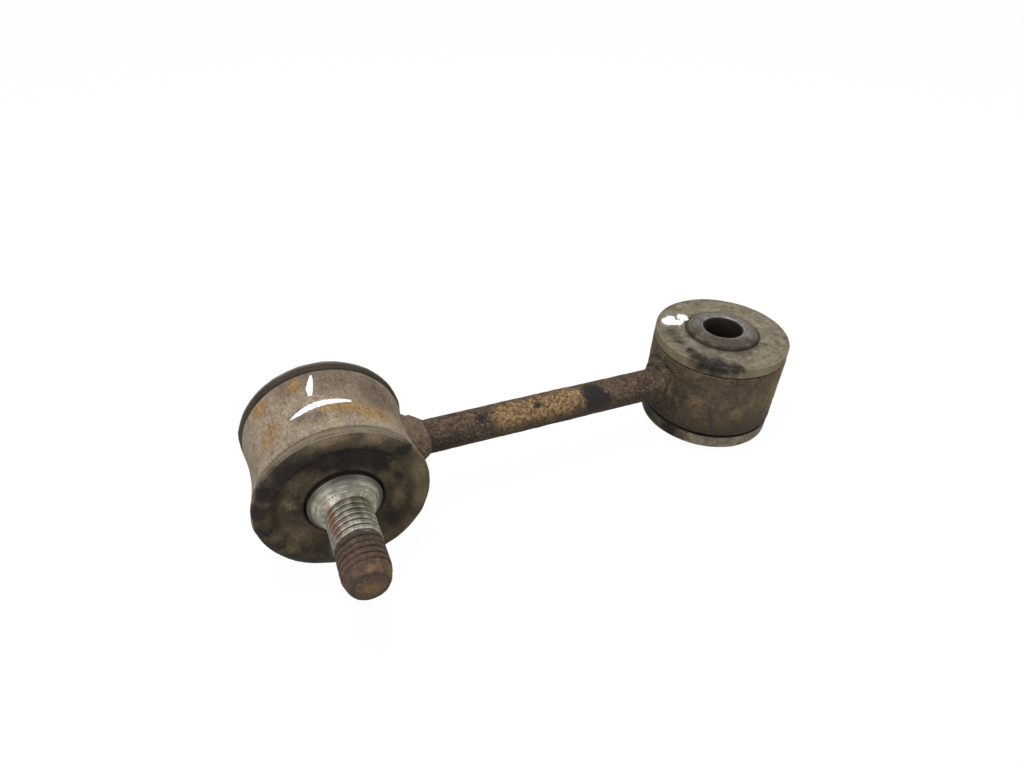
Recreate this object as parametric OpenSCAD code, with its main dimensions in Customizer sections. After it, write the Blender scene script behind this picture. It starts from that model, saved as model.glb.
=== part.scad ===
// Stabilizer link: a round rod welded to two steel eyes whose bores stand at right angles.
// One eye holds a threaded stud in rubber, the other a bolt sleeve in rubber.
// The origin is on the axis of the bolt bore, level with the rod. +X runs along the rod,
// away from the stud eye, and +Z along the bolt bore. The stud points to -Y.

/* [Link] */
// Distance between the axes of the two eyes
eye_centres = 125; // [100:1:180]
// Diameter of the round rod
rod_d = 10; // [8:0.5:13]
// Wall of both steel eyes
eye_wall = 2.5; // [2:0.1:4]

/* [Stud eye] */
// Outer diameter of the stud eye at its waist
stud_eye_d = 42; // [38:0.5:50]
// How much the radius grows from the waist to each end
stud_eye_flare = 1; // [0.5:0.1:2]
// Length of the stud eye along its bore
stud_eye_len = 24.5; // [20:0.5:32]
// How far the stud eye is set from the rod's axis, towards the stud
stud_eye_offset = 1.2; // [0:0.1:3]

/* [Stud rubber] */
// Thickness of each flange at its rim
stud_flange_t = 2.8; // [2:0.1:5]
// How much the rim grows past the end of the steel, in radius
stud_flange_flare = 0.6; // [0.2:0.1:1.2]
// Height of the roll moulded on each flange face
stud_roll_h = 1.3; // [0.6:0.1:2.2]
// Width of that roll, in radius
stud_roll_w = 6.4; // [4:0.2:7]
// Flat land between the rim's edge and the roll
stud_rim_land = 0.3; // [0.1:0.1:0.8]

/* [Stud] */
// Diameter of the thread, over its crests
stud_d = 12; // [10:0.5:14]
// Diameter of the shank in the rubber
stud_shank_d = 19.2; // [16:0.2:22]
// How far the shank's ends stand out of the rubber
stud_shank_proud = 1; // [0.5:0.1:3]
// Length of the cone between the shank and the thread
stud_cone_len = 4; // [2:0.5:8]
// Length of the thread, without the tip
stud_thread_len = 18.5; // [12:0.5:36]
// Length of the tapered tip
stud_tip_len = 4.2; // [2:0.2:6]
// Diameter of the flat end of the tip
stud_tip_d = 9; // [6:0.5:9.5]

/* [Bush eye] */
// Outer diameter of the bush eye
bush_eye_d = 42; // [36:0.5:50]
// Length of the bush eye along its bore
bush_eye_len = 22; // [18:0.5:30]
// Chamfer on the end edges of the bush eye
bush_eye_chamfer = 0.4; // [0.2:0.1:0.8]

/* [Bush rubber] */
// How far both flanges stay inside the outside of the eye, in radius
bush_flange_inset = 0.2; // [0:0.1:1]
// Thickness of the upper flange
bush_upper_t = 3.6; // [2.5:0.1:6]
// Thickness of the lower flange
bush_lower_t = 4.7; // [2.5:0.1:6]
// Rounding of the flange edges
bush_edge_r = 0.8; // [0.4:0.1:1.2]
// Height of the lip moulded round the sleeve
bush_lip_h = 1; // [0.4:0.1:1.4]
// Width of that lip, in radius
bush_lip_w = 2.2; // [1:0.1:3.5]

/* [Sleeve] */
// Outer diameter of the bolt sleeve
sleeve_d = 20; // [17:0.5:24]
// Diameter of the bolt bore
bore_d = 12.2; // [8.2:0.1:14.2]
// How far the sleeve stands out of the rubber at each end
sleeve_proud = 1.7; // [1.5:0.1:4]
// Rounding of the sleeve's outer end edges
sleeve_edge_r = 1.4; // [0.4:0.1:1.5]

/* [Welds] */
// Length of the stud end weld along the rod
stud_weld_len = 5.5; // [3.5:0.5:8]
// Length of its level part, next to the eye
stud_weld_level = 2.5; // [1:0.1:3]
// Height of the stud end weld over the rod
stud_weld_h = 2.4; // [1:0.1:3.5]
// Length of the bush end weld along the rod
bush_weld_len = 3.5; // [2:0.5:6]
// Height of the bush end weld over the rod
bush_weld_h = 3.8; // [1:0.1:5]

/* [Fits] */
// Radial gap between the rubber and the metal that it grips
bond_gap = 0.05; // [0.02:0.01:0.1]
// Gap between a rubber flange and the end of its eye
flange_gap = 0.4; // [0.3:0.05:0.8]
// Chamfer at the mouths of the stud rubber's bore
mouth_chamfer = 0.5; // [0.2:0.1:1]

/* [Hidden] */
$fn = 96;
arc_fn = 360;
rod_r = rod_d / 2;

// Stud eye: the waist is one arc through the middle and both ends
stud_waist_r = stud_eye_d / 2;
stud_end_r = stud_waist_r + stud_eye_flare;
stud_half = stud_eye_len / 2;
stud_arc_r = (stud_half * stud_half + stud_eye_flare * stud_eye_flare) / (2 * stud_eye_flare);
stud_arc_x = stud_waist_r + stud_arc_r;

// Stud rubber, along the stud's axis from the middle of the eye
stud_bond_r = stud_shank_d / 2 + bond_gap;
stud_neck_z = stud_half + flange_gap;
stud_face_z = stud_neck_z + stud_flange_t;
stud_rim_r = stud_end_r + stud_flange_flare;
stud_root_r = (stud_bond_r + stud_waist_r - eye_wall) / 2;
stud_root_z = stud_half / 2;
stud_roll_x = stud_rim_r - stud_rim_land - stud_roll_w / 2;

// Stud, along its axis from the middle of the eye
stud_shank_z = stud_face_z + stud_shank_proud;
stud_cone_z = stud_shank_z + stud_cone_len;
stud_thread_z = stud_cone_z + stud_thread_len;
stud_end_z = stud_thread_z + stud_tip_len;
shank_chamfer = stud_shank_proud / 2;

// Bush eye and its rubber, along the bolt bore
bush_eye_r = bush_eye_d / 2;
bush_bore_r = bush_eye_r - eye_wall;
bush_half = bush_eye_len / 2;
bush_neck_z = bush_half + flange_gap;
bush_upper_z = bush_neck_z + bush_upper_t;
bush_lower_z = -bush_neck_z - bush_lower_t;
bush_flange_r = bush_eye_r - bush_flange_inset;
bush_bond_r = sleeve_d / 2 + bond_gap;
sleeve_top_z = bush_upper_z + sleeve_proud;
sleeve_bottom_z = bush_lower_z - sleeve_proud;

// Bush end weld: where it leaves the eye and how far out it starts
bush_weld_r = rod_r + bush_weld_h;
bush_weld_seat = sqrt(bush_eye_r * bush_eye_r - bush_weld_r * bush_weld_r);

// Places a shape, drawn round Z with the stud's end up, at the stud eye
module at_stud_eye() {
    translate([-eye_centres, -stud_eye_offset, 0]) rotate([90, 0, 0]) children();
}

// Half section from inner_r out to the waist arc, which is moved inwards by depth
module waist_section(inner_r, half, depth) {
    difference() {
        translate([inner_r, -half]) square([stud_arc_x - inner_r, 2 * half]);
        translate([stud_arc_x, 0]) circle(r = stud_arc_r + depth, $fn = arc_fn);
    }
}

// Half section of a disc with both outer corners rounded
module rounded_section(inner_r, outer_r, low, high, edge) {
    translate([inner_r, low]) square([outer_r - edge - inner_r, high - low]);
    translate([inner_r, low + edge]) square([outer_r - inner_r, high - low - 2 * edge]);
    for (z = [low + edge, high - edge]) {
        translate([outer_r - edge, z]) circle(r = edge);
    }
}

// Half section of a rounded swelling on a face: an arc of the given height over a chord
module swelling_section(crest_r, half_w, height, face, from_r, sink) {
    arc = (half_w * half_w + height * height) / (2 * height);
    intersection() {
        translate([crest_r, face + height - arc]) circle(r = arc, $fn = arc_fn);
        translate([from_r, face - sink]) square([crest_r + 2 * half_w - from_r, height + 2 * sink]);
    }
}

// Outer body of the stud eye without its bore, to cut what butts on it
module stud_eye_body() {
    at_stud_eye() rotate_extrude() waist_section(0, stud_half, 0);
}

// Outer body of the bush eye without its bore
module bush_eye_body() {
    cylinder(r = bush_eye_r, h = bush_eye_len, center = true);
}

// The straight bar between the eyes, before its ends are cut
module rod_bar() {
    translate([-eye_centres, 0, 0]) rotate([0, 90, 0]) cylinder(r = rod_r, h = eye_centres);
}

// A bead round the rod, of radius top_r as far as level_z and sloping down to the rod at toe_z
module weld_bead(top_r, level_z, toe_z) {
    rotate_extrude() polygon([[0, 0], [top_r, 0], [top_r, level_z], [rod_r, toe_z], [0, toe_z]]);
}

// One rubber flange of the stud eye, with the roll on its face
module stud_flange() {
    rotate_extrude() polygon([
        [stud_bond_r, stud_root_z], [stud_bond_r, stud_face_z - mouth_chamfer],
        [stud_bond_r + mouth_chamfer, stud_face_z], [stud_rim_r, stud_face_z],
        [stud_end_r, stud_neck_z], [stud_root_r, stud_neck_z], [stud_root_r, stud_root_z]
    ]);
    rotate_extrude() swelling_section(stud_roll_x, stud_roll_w / 2, stud_roll_h, stud_face_z,
        stud_roll_x - stud_roll_w, stud_rim_land / 3);
}

// Straight bar, its ends cut to the curve of the eyes that they butt on
module link_rod() {
    color("#5f5244") difference() {
        rod_bar();
        stud_eye_body();
        bush_eye_body();
    }
}

// Waisted tube round the stud's rubber
module stud_end_eye() {
    color("#87775f") at_stud_eye() rotate_extrude() difference() {
        waist_section(0, stud_half, 0);
        waist_section(0, stud_eye_len, eye_wall);
    }
}

// Straight tube round the bush's rubber
module bush_end_eye() {
    color("#5a4d3c") rotate_extrude() polygon([
        [bush_bore_r, -bush_half], [bush_eye_r - bush_eye_chamfer, -bush_half],
        [bush_eye_r, -bush_half + bush_eye_chamfer], [bush_eye_r, bush_half - bush_eye_chamfer],
        [bush_eye_r - bush_eye_chamfer, bush_half], [bush_bore_r, bush_half]
    ]);
}

// Full bead where the rod meets the stud eye: level at first, then sloping to the rod
module stud_end_weld() {
    color("#5c5042") difference() {
        translate([-eye_centres, 0, 0]) rotate([0, 90, 0])
            weld_bead(rod_r + stud_weld_h, stud_waist_r + stud_weld_level, stud_waist_r + stud_weld_len);
        rod_bar();
        stud_eye_body();
    }
}

// Sloped fillet where the rod meets the bush eye
module bush_end_weld() {
    color("#5c4a3a") difference() {
        rotate([0, -90, 0]) weld_bead(bush_weld_r, bush_weld_seat, bush_eye_r + bush_weld_len);
        rod_bar();
        bush_eye_body();
    }
}

// Rubber that fills the stud eye and spreads over both of its ends
module stud_end_rubber() {
    color("#2b2825") at_stud_eye() {
        rotate_extrude() waist_section(stud_bond_r, stud_neck_z, eye_wall + bond_gap);
        stud_flange();
        mirror([0, 0, 1]) stud_flange();
    }
}

// Rubber that fills the bush eye and spreads over both of its ends
module bush_end_rubber() {
    color("#6b6459") rotate_extrude() {
        translate([bush_bond_r, bush_lower_z])
            square([bush_bore_r - bond_gap - bush_bond_r, bush_upper_z - bush_lower_z]);
        rounded_section(bush_bond_r, bush_flange_r, bush_neck_z, bush_upper_z, bush_edge_r);
        rounded_section(bush_bond_r, bush_flange_r, bush_lower_z, -bush_neck_z, bush_edge_r);
        swelling_section(bush_bond_r, bush_lip_w, bush_lip_h, bush_upper_z, bush_bond_r, bush_edge_r);
        mirror([0, 1])
            swelling_section(bush_bond_r, bush_lip_w, bush_lip_h, -bush_lower_z, bush_bond_r, bush_edge_r);
    }
}

// Stud: a thick shank in the rubber, a cone, the outside of the thread and a tapered tip
module threaded_stud() {
    color("#8a867a") at_stud_eye() rotate_extrude() polygon([
        [0, -stud_shank_z], [stud_shank_d / 2 - shank_chamfer, -stud_shank_z],
        [stud_shank_d / 2, -stud_shank_z + shank_chamfer], [stud_shank_d / 2, stud_shank_z],
        [stud_d / 2, stud_cone_z], [stud_d / 2, stud_thread_z], [stud_tip_d / 2, stud_end_z], [0, stud_end_z]
    ]);
}

// Thick sleeve that the bolt clamps, rounded at its ends
module bush_inner_sleeve() {
    color("#4f4a47") rotate_extrude()
        rounded_section(bore_d / 2, sleeve_d / 2, sleeve_bottom_z, sleeve_top_z, sleeve_edge_r);
}

link_rod();
stud_end_eye();
bush_end_eye();
stud_end_weld();
bush_end_weld();
stud_end_rubber();
bush_end_rubber();
threaded_stud();
bush_inner_sleeve();
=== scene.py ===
"""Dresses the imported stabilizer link: a rusted steel link with a stud in rubber and a bolt sleeve in rubber.

Sizes are in millimetres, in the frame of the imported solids, and the meshes are written in metres.
"""

import logging
import math
from abc import ABC, abstractmethod
from dataclasses import dataclass, field, replace
from enum import Enum
from functools import cached_property
from typing import Any, Callable, Sequence

import bmesh
import bpy
import numpy as np
from mathutils import Matrix, Vector, noise


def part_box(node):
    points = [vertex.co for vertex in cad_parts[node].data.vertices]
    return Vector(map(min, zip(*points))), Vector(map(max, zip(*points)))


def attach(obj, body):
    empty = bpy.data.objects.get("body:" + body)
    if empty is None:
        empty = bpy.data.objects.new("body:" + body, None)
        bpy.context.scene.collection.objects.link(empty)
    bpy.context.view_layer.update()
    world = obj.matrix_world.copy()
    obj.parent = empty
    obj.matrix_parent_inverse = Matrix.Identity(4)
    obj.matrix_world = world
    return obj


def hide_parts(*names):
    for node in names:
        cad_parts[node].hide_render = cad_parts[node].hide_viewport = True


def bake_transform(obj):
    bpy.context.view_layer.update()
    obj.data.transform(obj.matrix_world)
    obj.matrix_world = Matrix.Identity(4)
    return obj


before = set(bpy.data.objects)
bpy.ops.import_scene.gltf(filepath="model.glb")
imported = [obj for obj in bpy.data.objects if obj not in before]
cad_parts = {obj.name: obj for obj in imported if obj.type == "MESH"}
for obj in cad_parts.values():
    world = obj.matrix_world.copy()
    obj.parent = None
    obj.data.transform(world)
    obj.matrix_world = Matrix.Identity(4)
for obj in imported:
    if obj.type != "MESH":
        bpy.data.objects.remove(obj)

LOG = logging.getLogger("stabilizer_link")
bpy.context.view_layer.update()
MM = 0.001
FULL_TURN = 2 * math.pi

# Mesh attributes that the finishes read: the place at rest, and radius, height and angle round the axis
PLACE = "place_mm"
TURNED = "turned_mm"

# White of the hand-put marking paint
MARKING_WHITE = "#f6f6f4"

# Inputs of the Mix node when it mixes colours
MIX_FACTOR, MIX_UNDER, MIX_OVER = 0, 6, 7

# Noise is about 0.5 on average. It is seldom above CLOUD_TOP or more than CLOUD_SPAN below that, and CLOUD_SWING
# times its usual distance from 0.5 is 1
CLOUD_TOP, CLOUD_SPAN, CLOUD_SWING = 0.72, 0.44, 5
# A spot ends where its reach, 1, and the noise on it, 0.5 on average, add up to SPOT_EDGE. SPOT_FLOW is how softly
# spots flow together, and FAR is farther away than any spot
SPOT_EDGE, SPOT_FLOW, FAR = 1.5, 0.5, 99.0

Tree = bpy.types.NodeTree
Node = bpy.types.Node
Socket = bpy.types.NodeSocket
Colour = tuple[float, float, float, float]
Point = tuple[float, float, float]
# Radius, height and rounding of an outline's corner
Corner = tuple[float, float, float]
# Height and cell size in millimetres, octaves and seed of each layer of noise
Layers = tuple[tuple[float, float, int, float], ...]
# Cloud sizes in millimetres, each with how much it changes the brightness
Clouds = tuple[tuple[float, float], ...]
# Where a band begins and where it is full
Limits = tuple[tuple[float, float], ...]
# Height over the rod and distance from the eye along a bead's outside
Section = tuple[tuple[float, float], ...]


class Body(str, Enum):
    """The bodies that pieces ride on."""

    LINK = "link"
    STUD_RUBBER = "stud_rubber"
    STUD = "stud"
    BUSH_RUBBER = "bush_rubber"
    SLEEVE = "bush_sleeve"


class Slot(str, Enum):
    """The record's material slots."""

    ROD = "rod_steel"
    STUD_EYE = "stud_eye_steel"
    BUSH_EYE = "bush_eye_steel"
    WELD = "weld_steel"
    STUD_RUBBER = "stud_rubber"
    BUSH_RUBBER = "bush_rubber"
    STUD = "stud_steel"
    SLEEVE = "sleeve_steel"


def linear(hex_colour: str) -> Colour:
    """Turns an sRGB hex colour to the linear one that shaders take.

    Args:
        hex_colour: six hex digits after a hash.

    Returns:
        Linear red, green, blue and an alpha of 1.
    """
    parts = [int(hex_colour[i:i + 2], 16) / 255 for i in (1, 3, 5)]
    red, green, blue = [c / 12.92 if c <= 0.04045 else ((c + 0.055) / 1.055) ** 2.4 for c in parts]
    return red, green, blue, 1.0


def feed(tree: Tree, node: Node, inputs: dict[Any, Any]) -> None:
    """Sets or links a node's inputs.

    Args:
        tree: the node tree.
        node: the node in it.
        inputs: for each input by name or number, a value, a hex colour, or a socket or node to link from.
    """
    for key, value in inputs.items():
        if isinstance(value, Node):
            value = next(socket for socket in value.outputs if socket.enabled)
        if isinstance(value, Socket):
            tree.links.new(value, node.inputs[key])
        else:
            node.inputs[key].default_value = linear(value) if isinstance(value, str) else value


def add(tree: Tree, kind: str, inputs: dict[Any, Any] | None = None, **settings: Any) -> Node:
    """Adds a node with its settings and links.

    Args:
        tree: the node tree that gets it.
        kind: the node's type name.
        inputs: what feeds its inputs.
        settings: the node's own properties.

    Returns:
        The new node.
    """
    node = tree.nodes.new(kind)
    for name, value in settings.items():
        setattr(node, name, value)
    feed(tree, node, inputs or {})
    return node


def grain(points: np.ndarray, *layers: tuple[float, float, int, float]) -> np.ndarray:
    """Smooth noise at each point.

    Args:
        points: places in millimetres, the last axis being x, y and z.
        layers: each layer's height, cell size, octaves and seed.

    Returns:
        The sum of the layers at each point.
    """
    total = np.zeros(points.shape[:-1])
    for height, cell, octaves, seed in layers:
        flat = (points.reshape(-1, 3) / cell + seed).tolist()
        total += height * np.array([noise.fractal(p, 1.0, 2.0, octaves) for p in flat]).reshape(total.shape)
    return total


def ramp(values: np.ndarray, low: float, high: float) -> np.ndarray:
    """Rises smoothly from 0 where values are at low to 1 where they are at high."""
    share = np.clip((values - low) / (high - low), 0, 1)
    return share * share * (3 - 2 * share)


def round_angles(count: int) -> np.ndarray:
    """Evenly spaced angles of one full turn, as one row."""
    return np.linspace(0, FULL_TURN, count, endpoint=False)[None, :]


def rounded_outline(corners: Sequence[Corner], step: float, closed: bool = True, arc_steps: int = 7) -> np.ndarray:
    """Points along an outline whose corners are rounded.

    Args:
        corners: radius, height and rounding of each corner.
        step: longest distance between points on a straight run.
        closed: whether the outline comes back to its start.
        arc_steps: steps of each rounding.

    Returns:
        Radius and height of each point.
    """
    knots: list[np.ndarray] = []
    for i, (radius, height, rounding) in enumerate(corners):
        here = np.array((radius, height))
        if rounding == 0:
            knots.append(here)
            continue
        before = np.array(corners[i - 1][:2]) - here
        after = np.array(corners[(i + 1) % len(corners)][:2]) - here
        before /= np.linalg.norm(before)
        after /= np.linalg.norm(after)
        half = math.acos(float(np.clip(before @ after, -1, 1))) / 2
        middle = (before + after) / np.linalg.norm(before + after)
        centre = here + middle * rounding / math.sin(half)
        start = here + before * rounding / math.tan(half) - centre
        turn = math.copysign(math.pi - 2 * half, before[1] * after[0] - before[0] * after[1])
        for k in range(arc_steps + 1):
            c, s = math.cos(turn * k / arc_steps), math.sin(turn * k / arc_steps)
            knots.append(centre + np.array((c * start[0] - s * start[1], s * start[0] + c * start[1])))
    line: list[np.ndarray] = []
    for a, b in zip(knots, knots[1:] + knots[:1] if closed else knots[1:]):
        count = max(1, math.ceil(float(np.linalg.norm(b - a)) / step))
        line += [a + (b - a) * k / count for k in range(count)]
    return np.array(line if closed else line + [knots[-1]])


@dataclass(frozen=True)
class Turning:
    """The axis that a piece is turned round, and the direction of its angle 0."""

    along: Point
    out: Point
    origin: Point = (0.0, 0.0, 0.0)

    def direction(self, radial: np.ndarray, axial: np.ndarray, angle: np.ndarray) -> np.ndarray:
        """Vectors from shares across and along the axis.

        Args:
            radial: share across the axis.
            axial: share along it.
            angle: the angle round it.

        Returns:
            The vectors, in the frame of the solids.
        """
        along, out = np.array(self.along), np.array(self.out)
        radial, axial, angle = np.broadcast_arrays(radial, axial, angle)
        across = np.cos(angle)[..., None] * out + np.sin(angle)[..., None] * np.cross(along, out)
        return axial[..., None] * along + radial[..., None] * across

    def rings(self, radius: np.ndarray, height: np.ndarray, angle: np.ndarray) -> tuple[np.ndarray, np.ndarray]:
        """Places round the axis, and the radius, height and angle of each."""
        places = np.array(self.origin) + self.direction(radius, height, angle)
        return places, np.stack(np.broadcast_arrays(radius, height, angle), -1)

    def turn(self, outline: np.ndarray, segments: int) -> tuple[np.ndarray, np.ndarray, np.ndarray]:
        """Turns a closed outline round the axis.

        Args:
            outline: radius and height of each point.
            segments: points round the axis.

        Returns:
            The places, the directions square to the surface, and the radius, height and angle of each point.
        """
        angle = round_angles(segments)
        run = np.roll(outline, -1, 0) - np.roll(outline, 1, 0)
        run /= np.linalg.norm(run, axis=1, keepdims=True)
        places, turned = self.rings(outline[:, :1], outline[:, 1:], angle)
        return places, self.direction(run[:, 1:], -run[:, :1], angle), turned


@dataclass
class Skin:
    """A closed mesh made of rings of points, with the values that its finish reads.

    Each ring runs round the piece. The rings form a tube that closes on itself, or that ends in two poles.
    """

    name: str
    rings: np.ndarray
    turned: np.ndarray
    poles: bool = False

    def build(self) -> bpy.types.Object:
        """Makes the mesh object, in metres, with smooth shading.

        Returns:
            The new object, linked to the scene.
        """
        rows, columns = self.rings.shape[:2]
        index = np.arange(rows * columns).reshape(rows, columns)
        upper = index[:-1] if self.poles else index
        lower = index[1:] if self.poles else np.roll(index, -1, 0)
        quads = np.stack([upper, lower, np.roll(lower, -1, 1), np.roll(upper, -1, 1)], -1)
        faces: list[list[int]] = quads.reshape(-1, 4).tolist()
        points, turned = self.rings.reshape(-1, 3), self.turned.reshape(-1, 3)
        if self.poles:
            points = np.concatenate([points, self.rings[[0, -1]].mean(1)])
            turned = np.concatenate([turned, self.turned[[0, -1]].mean(1) * (0, 1, 1)])
            for ring, pole, order in ((index[0], rows * columns, 1), (index[-1], rows * columns + 1, -1)):
                faces += [[pole, *pair[::order]] for pair in zip(ring.tolist(), np.roll(ring, -1).tolist())]
        mesh = bpy.data.meshes.new(self.name)
        mesh.from_pydata((points * MM).tolist(), [], faces)
        for attribute, values in ((PLACE, points), (TURNED, turned)):
            stored = mesh.attributes.new(attribute, "FLOAT_VECTOR", "POINT")
            stored.data.foreach_set("vector", values.astype(np.float32).ravel())
        self._face_outwards(mesh)
        mesh.shade_smooth()
        made = bpy.data.objects.new(self.name, mesh)
        bpy.context.scene.collection.objects.link(made)
        return made

    @staticmethod
    def _face_outwards(mesh: bpy.types.Mesh) -> None:
        """Turns all faces over where the mesh is inside out.

        Args:
            mesh: the mesh to look at.
        """
        shape = bmesh.new()
        shape.from_mesh(mesh)
        if shape.calc_volume(signed=True) < 0:
            bmesh.ops.reverse_faces(shape, faces=shape.faces)
            shape.to_mesh(mesh)
        shape.free()


@dataclass(frozen=True)
class Spot:
    """A place on a surface where something shows, as a ball that the surface cuts."""

    place: Point
    reach: float
    stretch: Point = (1.0, 1.0, 1.0)


Spots = tuple[Spot, ...]


def spots(*rows: tuple[float, ...]) -> Spots:
    """Spots from rows of x, y, z and reach, each with a stretch along the axes where it isn't round."""
    return tuple(Spot(row[:3], row[3], row[4:] or (1.0, 1.0, 1.0)) for row in rows)


@dataclass(frozen=True)
class Edge:
    """How the edges of spots wander and fade.

    Drift is how far they wander and cell the size of the wandering, in millimetres. Soft is half their width as a
    share of a spot's reach, and strength is the mask's highest value.
    """

    drift: float
    cell: float
    soft: float = 0.3
    strength: float = 1.0


@dataclass(frozen=True)
class Band:
    """A ring on a turned piece, limited by radius and height, that lays dirt, dust, painted shade or a painted
    highlight.
    """

    tint: str
    strength: float
    radius: Limits = ()
    height: Limits = ()


Bands = tuple[Band, ...]


@dataclass
class Surface:
    """The nodes of one material, which lay colours over each other by where a point is."""

    tree: Tree

    @cached_property
    def place(self) -> Socket:
        """The place at rest, in millimetres."""
        return add(self.tree, "ShaderNodeAttribute", attribute_name=PLACE).outputs["Vector"]

    @cached_property
    def turned(self) -> Socket:
        """Radius, height and angle on a turned piece."""
        return add(self.tree, "ShaderNodeAttribute", attribute_name=TURNED).outputs["Vector"]

    def over(self, colour: Any, *layers: tuple[Any, Any]) -> Any:
        """Lays colours over each other.

        Args:
            colour: the colour underneath, a hex value or a node.
            layers: each a mask and the colour that shows where it is full. A plain 0 as the mask leaves it out.

        Returns:
            The node that gives the colour.
        """
        for mask, upper in layers:
            if mask != 0.0:
                colour = add(self.tree, "ShaderNodeMix", {MIX_FACTOR: mask, MIX_UNDER: colour, MIX_OVER: upper},
                             data_type="RGBA")
        return colour

    def blotches(self, cell: float, cover: float, soft: float, seed: float = 0.0, place: Any = None) -> Node:
        """A mask of irregular blotches.

        Args:
            cell: size of a blotch in millimetres.
            cover: share of the surface that is covered, about 0 to 1.
            soft: width of the blotches' edges, as a share of the noise's range.
            seed: shifts the pattern.
            place: where the pattern is read, if not at the place at rest.

        Returns:
            The node that gives the mask, 0 to 1.
        """
        moved = add(self.tree, "ShaderNodeVectorMath",
                    {0: self.place if place is None else place, 1: (seed, seed * 1.7, -seed)}, operation="ADD")
        cloud = add(self.tree, "ShaderNodeTexNoise",
                    {"Vector": moved, "Scale": 1 / cell, "Detail": 5.0, "Roughness": 0.62})
        edge = CLOUD_TOP - CLOUD_SPAN * cover
        return add(self.tree, "ShaderNodeMapRange",
                   {"Value": cloud, "From Min": edge - soft / 2, "From Max": edge + soft / 2},
                   interpolation_type="SMOOTHSTEP")

    def spotted(self, where: Sequence[Spot], edge: Edge, also: Any = 0.0) -> Any:
        """A mask of chosen spots that flow together and have wandering, broken edges.

        Args:
            where: the spots.
            edge: how their edges wander and fade.
            also: a mask that they are added to.

        Returns:
            The node that gives the mask, or the mask that they are added to where there are no spots.
        """
        if not where:
            return also
        tree, swing = self.tree, CLOUD_SWING * edge.drift
        cloud = add(tree, "ShaderNodeTexNoise",
                    {"Vector": self.place, "Scale": 1 / edge.cell, "Detail": 5.0, "Roughness": 0.65})
        moved = add(tree, "ShaderNodeVectorMath", {0: cloud.outputs["Color"], 1: (swing,) * 3, 2: self.place},
                    operation="MULTIPLY_ADD")
        nearest: Any = FAR
        for spot in where:
            middle = tuple(c + swing / 2 for c in spot.place)
            shrink = tuple(1 / (spot.reach * s) for s in spot.stretch)
            away = add(tree, "ShaderNodeVectorMath", {0: moved, 1: middle}, operation="SUBTRACT")
            away = add(tree, "ShaderNodeVectorMath", {0: away, 1: shrink}, operation="MULTIPLY")
            away = add(tree, "ShaderNodeVectorMath", {0: away}, operation="LENGTH")
            nearest = add(tree, "ShaderNodeMath", {0: nearest, 1: away, 2: SPOT_FLOW}, operation="SMOOTH_MIN")
        broken = add(tree, "ShaderNodeMath", {0: cloud, 1: nearest}, operation="ADD")
        mask = add(tree, "ShaderNodeMapRange", {"Value": broken, "From Min": SPOT_EDGE + edge.soft,
                                                "From Max": SPOT_EDGE - edge.soft, "To Max": edge.strength},
                   interpolation_type="SMOOTHSTEP")
        return mask if also == 0.0 else add(tree, "ShaderNodeMath", {0: mask, 1: also}, operation="MAXIMUM")

    def mottled(self, colour: Any, clouds: Clouds, place: Any = None) -> Node:
        """Makes a colour lighter and darker in clouds of several sizes.

        Args:
            colour: the colour to vary.
            clouds: their sizes and amounts.
            place: where the clouds are read, if not at the place at rest.

        Returns:
            The node that gives the varied colour.
        """
        total: Any = 1.0
        for cell, amount in clouds:
            cloud = add(self.tree, "ShaderNodeTexNoise", {"Vector": self.place if place is None else place,
                                                          "Scale": 1 / cell, "Detail": 3.0, "Roughness": 0.6})
            swing = add(self.tree, "ShaderNodeMapRange", {"Value": cloud, "From Min": 0.25, "From Max": 0.75,
                                                          "To Min": -amount, "To Max": amount}, clamp=False)
            total = add(self.tree, "ShaderNodeMath", {0: total, 1: swing}, operation="ADD")
        return add(self.tree, "ShaderNodeHueSaturation", {"Value": total, "Color": colour})

    def banded(self, colour: Any, bands: Sequence[Band]) -> Any:
        """Lays rings of dirt, dust, painted shade and painted highlight over a colour.

        Args:
            colour: the colour underneath.
            bands: the rings, each over those before it.

        Returns:
            The node that gives the colour with the rings on it.
        """
        parts = add(self.tree, "ShaderNodeSeparateXYZ", {0: self.turned}).outputs
        for band in bands:
            share: Any = band.strength
            for part, limits in (("X", band.radius), ("Y", band.height)):
                for begin, full in limits:
                    inside = add(self.tree, "ShaderNodeMapRange",
                                 {"Value": parts[part], "From Min": begin, "From Max": full})
                    share = add(self.tree, "ShaderNodeMath", {0: share, 1: inside}, operation="MULTIPLY")
            colour = self.over(colour, (share, band.tint))
        return colour

    def relief(self, cell: float, detail: float, fine: float, strength: Any, depth: float,
               raised: Any = 0.0) -> Node:
        """Fine bumps all over.

        Args:
            cell: size of a bump in millimetres.
            detail: how many finer layers it has.
            fine: how strong these are.
            strength: how much the bumps tilt the light, 0 to 1.
            depth: their depth in millimetres.
            raised: a mask of what stands higher by half that depth.

        Returns:
            The node that gives the normal.
        """
        cloud = add(self.tree, "ShaderNodeTexNoise",
                    {"Vector": self.place, "Scale": 1 / cell, "Detail": detail, "Roughness": fine})
        height = add(self.tree, "ShaderNodeMath", {0: raised, 1: 0.5, 2: cloud}, operation="MULTIPLY_ADD")
        return add(self.tree, "ShaderNodeBump", {"Height": height, "Strength": strength, "Distance": depth * MM})


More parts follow.
